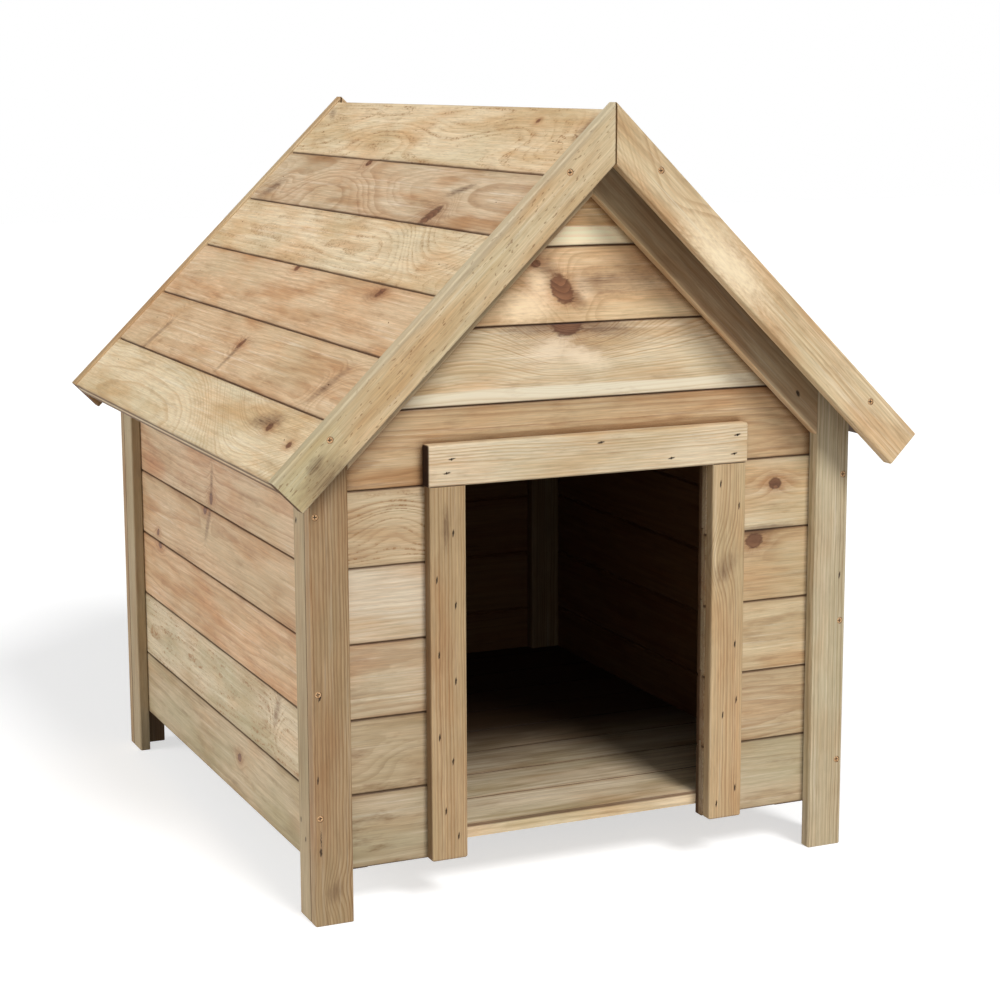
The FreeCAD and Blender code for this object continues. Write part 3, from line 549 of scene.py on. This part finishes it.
dress("front_board_8",
      pine("pine_front_8", front_axes(7), 19.0,
           knots=((-31.0, 37.7, 18.5, 11.0, -56.0, 20.0), (-63.4, 67.8, 6.0, 4.0, 0.0, 7.0)),
           smears=((-45.0, 56.0, 22.0, 10.0, -56.0, 4.0), (-14.0, 30.0, 16.0, 8.0, -56.0, 0.0),
                   (30.0, 44.0, 60.0, 12.0, 0.0, 0.0)),
           glows=((-72.0, 20.0, 26.0, 16.0, 10.0, 0.0), (-4.0, 38.0, 13.0, 9.0, -50.0, 0.0),
                  (-58.0, 44.0, 12.0, 16.0, 30.0, 0.0)),
           swirls=((60.0, 40.0, 140.0, 40.0, 0.0, 12.0),), style=dict(Ragged=0.9),
           Pith_V=20.0, Pith_W=-40.0, Halo_Color=srgb(204, 148, 98),
           **GABLE, **look(TAN, Contrast=0.45, Tint=(1.3, 1.31, 1.3))))
# The tint well above 1 is painted light: it lifts this board out of the roof's shade near the peak.
dress("front_board_9",
      pine("pine_front_9", front_axes(8), 20.0, Pith_V=60.0, Pith_W=-50.0, Sap_Below=22.0,
           **GABLE, **look(ORANGE, Contrast=0.45, Tint=(1.38, 1.42, 1.4))))
dress("front_board_10", pine("pine_front_10", front_axes(9), 21.0, **GABLE, **look(TAN)))

# ---------------------------------------------------------------- left wall (u grows towards the front)
SIDE_LOOKS = [
    (look(GREY, Contrast=0.45, Green=0.3, Tint=(0.95, 0.92, 0.9)),
     ((70.1, 50.8, 7.0, 5.0, 20.0, 12.0),), ()),
    (look(GREY, Contrast=0.35, Green=0.3, Flecks=0.5, Dotted=0.8, Tint=(1.12, 1.12, 1.15)), (),
     ((222.4, 66.0, 24.0, 7.0, 60.0, 10.0),)),
    (look(ORANGE, Contrast=0.5, Tint=(1.0, 0.98, 1.04)),
     ((-266.6, 82.0, 7.0, 4.0, 0.0, 12.0),), ()),
    (look(TAN, Contrast=0.42, Tint=(0.94, 0.92, 0.93)),
     ((-275.1, 12.4, 6.0, 3.5, 40.0, 10.0), (-50.3, 82.0, 8.0, 5.0, 30.0, 12.0)),
     ((-40.0, 66.0, 24.0, 5.0, 60.0, 4.0),)),
    (look(PINK, Contrast=0.5, Tint=(1.0, 1.03, 1.0)), ((-23.1, 15.0, 8.0, 6.0, 70.0, 14.0),),
     ((-20.0, 34.0, 22.0, 5.0, 80.0, 4.0),)),
    (look(TAN, Contrast=0.4, Tint=(1.02, 1.02, 1.0)), (), ()),
]
for row, (base, knots, smears) in enumerate(SIDE_LOOKS):
    dress(f"left_wall_board_{row + 1}",
          pine(f"pine_left_{row + 1}", side_axes(row), 31.0 + 1.7 * row, knots=knots, smears=smears,
               Pith_V=25.0 + 13 * row, Pith_W=-60.0, **WALL, **base))

# ---------------------------------------------------------------- roof (u along Y, v down the slope)
ROOF_LOOKS = [
    (look(YELLOW, Contrast=0.34, Flecks=0.2, Dotted=0.75, Tint=(1.03, 1.04, 1.08)),
     ((-283.0, 12.0, 4.0, 3.0, 0.0, 4.0),),
     ((-425.0, 21.0, 16.0, 20.0, 20.0, 14.0), (405.0, 12.0, 20.0, 5.0, -24.0, 0.0))),
    (look(TAN, Contrast=0.5, Cloudy=0.8, Tint=(0.99, 1.04, 1.14)),
     ((-224.0, 75.0, 17.0, 10.0, 40.0, 26.0), (104.0, 7.0, 7.0, 5.0, 0.0, 10.0)),
     ((369.0, 66.0, 26.0, 11.0, 35.0, 14.0), (-244.0, 34.0, 26.0, 5.0, 20.0, 4.0))),
    (look(YELLOW, Contrast=0.42, Flecks=0.2, Dotted=0.45, Tint=(1.04, 1.06, 1.12)), (), ()),
    (look(TAN, Contrast=0.34, Tint=(1.08, 1.08, 1.12)),
     ((-276.0, 12.0, 8.0, 5.5, 30.0, 12.0), (25.0, 5.0, 7.0, 4.0, 0.0, 10.0)),
     ((-268.0, 16.0, 24.0, 6.0, 12.0, 0.0),)),
    (look(TAN, Contrast=0.42, Tint=(1.04, 1.04, 1.07)), ((-16.0, 38.0, 9.0, 5.0, 60.0, 12.0),),
     ((295.0, 66.0, 30.0, 6.0, 70.0, 10.0), (-355.0, 50.0, 26.0, 8.0, 60.0, 10.0),
      (-16.0, 60.0, 22.0, 5.0, 80.0, 0.0))),
    (look(YELLOW, Contrast=0.5, Flecks=0.15, Tint=(1.0, 1.04, 1.1)),
     ((-303.0, 32.0, 7.0, 5.0, 0.0, 12.0), (-390.0, 42.0, 6.0, 4.0, 0.0, 8.0)),
     ((-285.0, 26.0, 38.0, 9.0, 10.0, 0.0),)),
]
# Wide pushes that turn straight rings into the nested arches of flat-sawn boards.
ROOF_SWIRLS = {
    0: ((120.0, 50.0, 190.0, 38.0, 0.0, 34.0), (-240.0, 40.0, 150.0, 34.0, 4.0, 30.0)),
    1: ((150.0, 55.0, 170.0, 40.0, 0.0, 34.0),),
    2: ((-330.0, 20.0, 110.0, 60.0, 0.0, 48.0),),
    5: ((-280.0, 10.0, 190.0, 110.0, 0.0, 110.0),),
}
ROOF_KNOTS = dict(Soft=0.42, Ragged=1.25, Burst=0.06)
ROOF_EDGES = {0: -ROOF_START}  # the top board runs on towards the ridge line
for row, (base, knots, smears) in enumerate(ROOF_LOOKS):
    dress(f"roof_board_left_{row + 1}",
          pine(f"pine_roof_left_{row + 1}", roof_axes(row, -1), 51.0 + 2.3 * row, knots=knots, smears=smears,
               swirls=ROOF_SWIRLS.get(row, ()), style=ROOF_KNOTS, Pith_V=30.0 + 9 * row, Pith_W=-50.0,
               Taper=0.012, Start=ROOF_EDGES.get(row, 0.0), **ROOF, **base))
    mirrored = [(90 - u * 0.7, 88 - v, a, b, -t, p) for u, v, a, b, t, p in knots]
    dress(f"roof_board_right_{row + 1}",
          pine(f"pine_roof_right_{row + 1}", roof_axes(row, 1), 71.0 + 2.9 * row,
               knots=mirrored, style=ROOF_KNOTS, Pith_V=60.0 - 9 * row, Pith_W=-60.0, Taper=0.009,
               Start=ROOF_EDGES.get(row, 0.0), **ROOF, **ROOF_LOOKS[5 - row][0]))

# ---------------------------------------------------------------- posts, battens, trim
STRIPED = dict(Pith_V=-90.0, Pith_W=-30.0, Spacing=3.8, Wander=3.0, Contrast=0.85, Taper=0.002, Grime=0.2,
               Cloudy=0.3)
POST_TINTS = {("left", "front"): (0.76, 0.75, 0.72), ("left", "rear"): (0.8, 0.8, 0.78),
              ("right", "front"): (1.02, 1.04, 1.06), ("right", "rear"): (0.95, 0.95, 0.95)}
# Painted shade where the posts and side battens meet.
SEAM_SHADE = (0.4, 0.36, 0.32)
POST_MARKS = {
    "left": ((169.0, 5.0, 4.0), (86.3, 7.1, 0.0, 5.2, 1.5), (101.0, 7.4, 0.0, 10.0, 0.6),
             (262.0, 9.0, 20.0)),
    "right": ((338.0, 36.0, 8.0),),
}
for side, x in (("left", -HALF_WIDTH), ("right", HALF_WIDTH - POST_WIDTH)):
    base = BROWN if side == "left" else GREY
    for end, y, out in (("front", POST_FRONT, FRONT), ("rear", POST_REAR, REAR)):
        marks = POST_MARKS[side] if end == "front" else ()
        smears = ((38.5, 22.8, 11.0, 7.0, 20.0, 8.0),) if (side, end) == ("left", "front") else ()
        dress(f"{end}_post_{side}",
              pine(f"pine_{end}_post_{side}", post_axes(x, y, out), 90.0 + x + y / 3,
                   slits=marks, smears=smears, edges=((2, -14.9, -16.2, SEAM_SHADE),),
                   **look(base, Tint=POST_TINTS[side, end], **STRIPED)))
SIDE_HOLES = ((93.0, -13.4, 0.0, 3.4, 1.6), (112.0, -28.2, 0.0, 3.4, 1.6),
              (453.4, -26.0, 10.0, 3.8, 2.4))
for side, x, out in (("left", -HALF_WIDTH, LEFT), ("right", HALF_WIDTH, RIGHT)):
    for end, y in (("front", FRONT_OUTER), ("rear", REAR_OUTER - SIDE_BATTEN_WIDTH)):
        sign = -1 if side == "left" else 1
        start, full = (1.7, 0.4) if end == "front" else (34.3, 35.6)
        holes = SIDE_HOLES if (side, end) == ("left", "front") else ()
        dress(f"side_batten_{end}_{side}",
              pine(f"pine_side_batten_{end}_{side}", post_axes(x, y, out), x + y / 7,
                   slits=holes, edges=((1, start * sign, full * sign, SEAM_SHADE),),
                   **look(GREY, Tint=(0.76, 0.72, 0.66), **STRIPED)))
BARGE_LOOKS = {
    ("left", "front"): look(YELLOW, Pith_V=20.0, Pith_W=-80.0, Contrast=0.25, Flecks=0.6,
                            Weathered=6.0, Tint=(0.93, 0.94, 0.93)),
    ("right", "front"): look(TAN, Pith_V=60.0, Pith_W=-24.0, Spacing=3.6, Taper=0.02,
                             Contrast=0.5, Tint=(1.15, 1.22, 1.24)),
    ("left", "rear"): look(TAN, Contrast=0.4, Tint=(0.8, 0.8, 0.76)),
    ("right", "rear"): look(TAN, Contrast=0.4),
}
BARGE_MARKS = {
    ("left", "front"): dict(
        smears=((514.0, 40.0, 26.0, 14.0, -8.0, 3.0), (512.0, 22.0, 12.0, 6.0, 0.0, 0.0)),
        edges=((0, 440.0, 505.0, (0.84, 0.87, 0.82)),)),
    ("right", "front"): dict(swirls=((122.0, 44.0, 110.0, 60.0, 8.0, 46.0),),
                             glows=((226.0, 30.0, 60.0, 16.0, 0.0, 0.0),)),
}
GABLE_NAIL = ((430.0, 56.0, 20.0, 4.6, 2.2),)
# Painted light: lit bands along the lower edge of the gable battens.
GABLE_LIGHT = ((1, 67.0, 70.0, (1.35, 1.4, 1.45)), (1, 71.2, 72.7, (1.3, 1.32, 1.35)))
for side, sign in (("left", -1), ("right", 1)):
    for end, y, out in (("front", BARGE_FRONT, FRONT), ("rear", -BARGE_FRONT, REAR)):
        dress(f"bargeboard_{end}_{side}",
              pine(f"pine_bargeboard_{end}_{side}", slope_axes(y, out, sign), sign * 5.0 + y / 50,
                   **BARGE_MARKS.get((side, end), {}), **BARGE_LOOKS[side, end]))
    # The gable battens' dark tint is painted shadow from the bargeboards above them.
    for end, y, out in (("front", POST_FRONT, FRONT), ("rear", POST_REAR, REAR)):
        dress(f"gable_batten_{end}_{side}",
              pine(f"pine_gable_batten_{end}_{side}", slope_axes(y, out, sign), sign * 8.0 + y / 60,
                   slits=GABLE_NAIL, edges=GABLE_LIGHT,
                   **look(TAN, Pith_V=70.0, Contrast=0.4, Tint=(0.75, 0.76, 0.75))))
# Nails tear the face as they go in: (height or place along, distance across), mm.
LINTEL_NAILS = ((-179.0, 15.0), (-173.0, 30.5), (10.0, 36.5), (100.5, 12.0), (183.0, 11.5),
                (187.0, 33.5))
JAMB_NAILS = {
    "left": ((82, 11.5), (113, 27), (170, 18), (200, 34), (263, 14), (295, 34), (350, 13.5),
             (381, 36), (432, 16)),
    "right": ((74, 10), (91, 35), (183, 17), (199.5, 35), (268, 32), (434, 35), (462, 10)),
}
JAMB_TINTS = {"left": (0.77, 0.73, 0.66), "right": (0.92, 0.92, 0.87)}
# Painted shade on the jambs' left-facing sides.
JAMB_SIDE_SHADE = {"left": (0.5, 0.45, 0.4), "right": (0.72, 0.69, 0.66)}
JAMB_SWIRLS = {"left": (), "right": ((372.0, 8.0, 40.0, 24.0, 8.0, 15.0),)}
JAMB_SMEARS = {"left": ((440.0, 20.0, 20.0, 4.0, 0.0, 0.0),),
               "right": ((362.0, 18.0, 16.0, 9.0, 30.0, 0.0),)}
# The lintel's left end is darkened almost to black: end grain, and painted shade on the unlit end.
dress("door_lintel",
      pine("pine_lintel", (Vector((0, POST_FRONT, LINTEL_BOTTOM)), RIGHT, UP, FRONT), 131.0,
           slits=[(u, v, 8.0) for u, v in LINTEL_NAILS],
           edges=((0, -199.6, -200.8, (0.22, 0.19, 0.17)),),
           **look(YELLOW, Pith_V=-60.0, Pith_W=-60.0, Spacing=3.2, Contrast=0.6,
                  Tint=(1.03, 1.07, 1.17))))
for side, x in JAMB_EDGE.items():
    slits = [(z, JAMB_WIDTH - d if side == "left" else d, 6.0) for z, d in JAMB_NAILS[side]]
    dress(f"door_jamb_{side}",
          pine(f"pine_jamb_{side}", post_axes(x, POST_FRONT, FRONT), 141.0 + x, slits=slits,
               swirls=JAMB_SWIRLS[side], smears=JAMB_SMEARS[side],
               edges=((1, 1.3, 0.3, JAMB_SIDE_SHADE[side]),),
               **look(TAN, Tint=JAMB_TINTS[side], **STRIPED)))


# ---------------------------------------------------------------- boards that share a node
def seeds_across(start, cover):
    """Boards side by side across v: each gets its own seed, and v from its own edge."""
    def apply(g, place, seed):
        u, v, w = g.split(place)
        row = g.math("FLOOR", g.math("DIVIDE", g.math("SUBTRACT", v, start), cover))
        local = g.math("SUBTRACT", g.math("SUBTRACT", v, start), g.math("MULTIPLY", row, cover))
        return g.join(u, local, w), g.math("ADD", seed, g.math("MULTIPLY", row, 1.37))
    return apply


REAR_WALL = (Vector((0, REAR_OUTER, WALL_BOTTOM)), LEFT, UP, REAR)
RIGHT_WALL = (Vector((SIDE_OUTER, 0, WALL_BOTTOM)), REAR, UP, RIGHT)
FLOOR = (Vector((0, FLOOR_START, FLOOR_TOP)), RIGHT, REAR, UP)
RAFTERS = (Vector((0, 0, RIDGE)), RIGHT, UP, FRONT)
BEARERS = (Vector((0, 0, BEARER_TOP)), FRONT, RIGHT, UP)
dress("rear_wall_boards", pine("pine_rear_wall", REAR_WALL, 211.0, seeds_by=seeds_across(0.0, ROW),
                               **WALL, **look(TAN, Contrast=0.45, Cloudy=0.5)))
dress("right_wall_boards", pine("pine_right_wall", RIGHT_WALL, 231.0, seeds_by=seeds_across(0.0, ROW),
                                **WALL, **look(PINK, Contrast=0.45, Cloudy=0.5)))
# A raised tint and the depth shade paint a pool of daylight on the floor, fading to painted shade further
# in.
dress("floor_boards", pine("pine_floor", FLOOR, 251.0, seeds_by=seeds_across(0.0, ROW),
                           shade=FLOOR_SHADE, Cover=ROW, Joint=0.8,
                           **look(GREY, Contrast=0.5, Cloudy=0.7, Tint=(1.44, 1.44, 1.5))))
# The dark tint is painted shade inside the house.
dress("inner_corner_battens", pine("pine_inner_corners", post_axes(0, 0, FRONT), 271.0,
                                   **look(TAN, Tint=(0.34, 0.31, 0.27), **STRIPED)))
dress("inner_rafters", pine("pine_inner_rafters", RAFTERS, 281.0, **TAN))
dress("floor_bearers", pine("pine_bearers", BEARERS, 291.0, **TAN))


# ---------------------------------------------------------------- fasteners
def metal(name, bright, dark, roughness, metallic):
    material = bpy.data.materials.new(name)
    material.use_nodes = True
    g = Graph(material.node_tree)
    shader = material.node_tree.nodes["Principled BSDF"]
    coordinates = g.node("ShaderNodeTexCoord")
    stain = g.span(g.noise(coordinates.outputs["Object"], 900.0, 3.0), 0.35, 0.65)
    # Ambient occlusion paints shade into the recesses of heads and slots.
    hollow = g.node("ShaderNodeAmbientOcclusion", samples=4)
    hollow.inputs["Distance"].default_value = 0.003
    shaded = g.span(hollow.outputs["AO"], 0.9, 0.45)
    g.feed(shader.inputs["Base Color"], g.mix(shaded, g.mix(stain, bright, dark), srgb(40, 24, 14)))
    g.feed(shader.inputs["Roughness"], g.span(stain, 0.0, 1.0, roughness, roughness + 0.2))
    shader.inputs["Metallic"].default_value = metallic
    bump = g.node("ShaderNodeBump")
    bump.inputs["Strength"].default_value = 0.3
    bump.inputs["Distance"].default_value = 0.0001
    g.feed(bump.inputs["Height"], stain)
    g.feed(shader.inputs["Normal"], bump.outputs[0])
    return material


dress("screws", metal("zinc_screws", srgb(236, 196, 150), srgb(206, 158, 108), 0.5, 0.35))
dress("nails", metal("steel_nails", srgb(90, 80, 70), srgb(50, 40, 32), 0.5, 0.85))


# ---------------------------------------------------------------- stage
STAGE_SIZE = 12.0
STAGE_GREY = 0.6
STAGE_GLOW = 0.62
SKY_LIGHT = 0.08
SUNS = (  # name, azimuth, elevation, spread, strength
    ("key", 10.0, 43.0, 17.0, 0.78),
    ("left_fill", -95.0, 15.0, 45.0, 0.69),
    ("front_fill", -20.0, 30.0, 40.0, 0.12),
)
SUN_DISTANCE = 3.0
LENS, SENSOR = 81.51, 36.0
LENS_SHIFT = (-0.0048, -0.0210)
CAMERA_PLACE = (-1.1213, -2.6519, 0.9297)
YAW, PITCH, ROLL = 0.4202, -0.1760, 0.0030


def add_floor():
    mesh = bpy.data.meshes.new("studio_floor")
    corners = [(x * STAGE_SIZE, y * STAGE_SIZE, 0) for x, y in ((-1, -1), (1, -1), (1, 1), (-1, 1))]
    mesh.from_pydata(corners, [], [(0, 1, 2, 3)])
    floor = bpy.data.objects.new("studio_floor", mesh)
    bpy.context.scene.collection.objects.link(floor)
    material = bpy.data.materials.new("studio_floor")
    material.use_nodes = True
    g = Graph(material.node_tree)
    material.node_tree.nodes.clear()
    diffuse = g.node("ShaderNodeBsdfDiffuse")
    diffuse.inputs["Color"].default_value = (STAGE_GREY, STAGE_GREY, STAGE_GREY, 1)
    glow = g.node("ShaderNodeEmission")
    rays = g.node("ShaderNodeLightPath")
    seen = g.math("MAXIMUM", rays.outputs["Is Camera Ray"], rays.outputs["Is Glossy Ray"])
    g.feed(glow.inputs["Strength"], g.math("MULTIPLY", seen, STAGE_GLOW))
    both = g.node("ShaderNodeAddShader")
    g.feed(both.inputs[0], diffuse.outputs[0])
    g.feed(both.inputs[1], glow.outputs[0])
    output = g.node("ShaderNodeOutputMaterial")
    g.feed(output.inputs["Surface"], both.outputs[0])
    mesh.materials.append(material)


def add_world():
    world = bpy.data.worlds.new("studio")
    bpy.context.scene.world = world
    world.use_nodes = True
    g = Graph(world.node_tree)
    background = world.node_tree.nodes["Background"]
    rays = g.node("ShaderNodeLightPath")
    seen = g.math("MAXIMUM", rays.outputs["Is Camera Ray"], rays.outputs["Is Transmission Ray"])
    g.feed(background.inputs["Strength"], g.span(seen, 0.0, 1.0, SKY_LIGHT, 1.0, smooth=False))
    background.inputs["Color"].default_value = (1, 1, 1, 1)


def add_sun(name, azimuth, elevation, spread, strength):
    """Soft parallel light. Azimuth 0 shines from the front, 90 from the right; degrees."""
    lamp = bpy.data.lights.new(name, "SUN")
    lamp.angle = math.radians(spread)
    lamp.energy = strength * math.pi
    a, e = math.radians(azimuth), math.radians(elevation)
    towards = Vector((math.sin(a) * math.cos(e), -math.cos(a) * math.cos(e), math.sin(e)))
    holder = bpy.data.objects.new(name, lamp)
    holder.rotation_euler = (-towards).to_track_quat("-Z", "Y").to_euler()
    holder.location = towards * SUN_DISTANCE
    bpy.context.scene.collection.objects.link(holder)


def add_camera():
    camera = bpy.data.cameras.new("camera")
    camera.lens = LENS
    camera.sensor_width = SENSOR
    camera.shift_x, camera.shift_y = LENS_SHIFT
    holder = bpy.data.objects.new("camera", camera)
    turn = Euler((math.pi / 2 + PITCH, 0.0, -YAW)).to_matrix() @ Matrix.Rotation(-ROLL, 3, "Z")
    holder.rotation_euler = turn.to_euler()
    holder.location = CAMERA_PLACE
    bpy.context.scene.collection.objects.link(holder)
    bpy.context.scene.camera = holder


add_floor()
add_world()
for sun in SUNS:
    add_sun(*sun)
add_camera()
bpy.context.scene.view_settings.view_transform = "Standard"
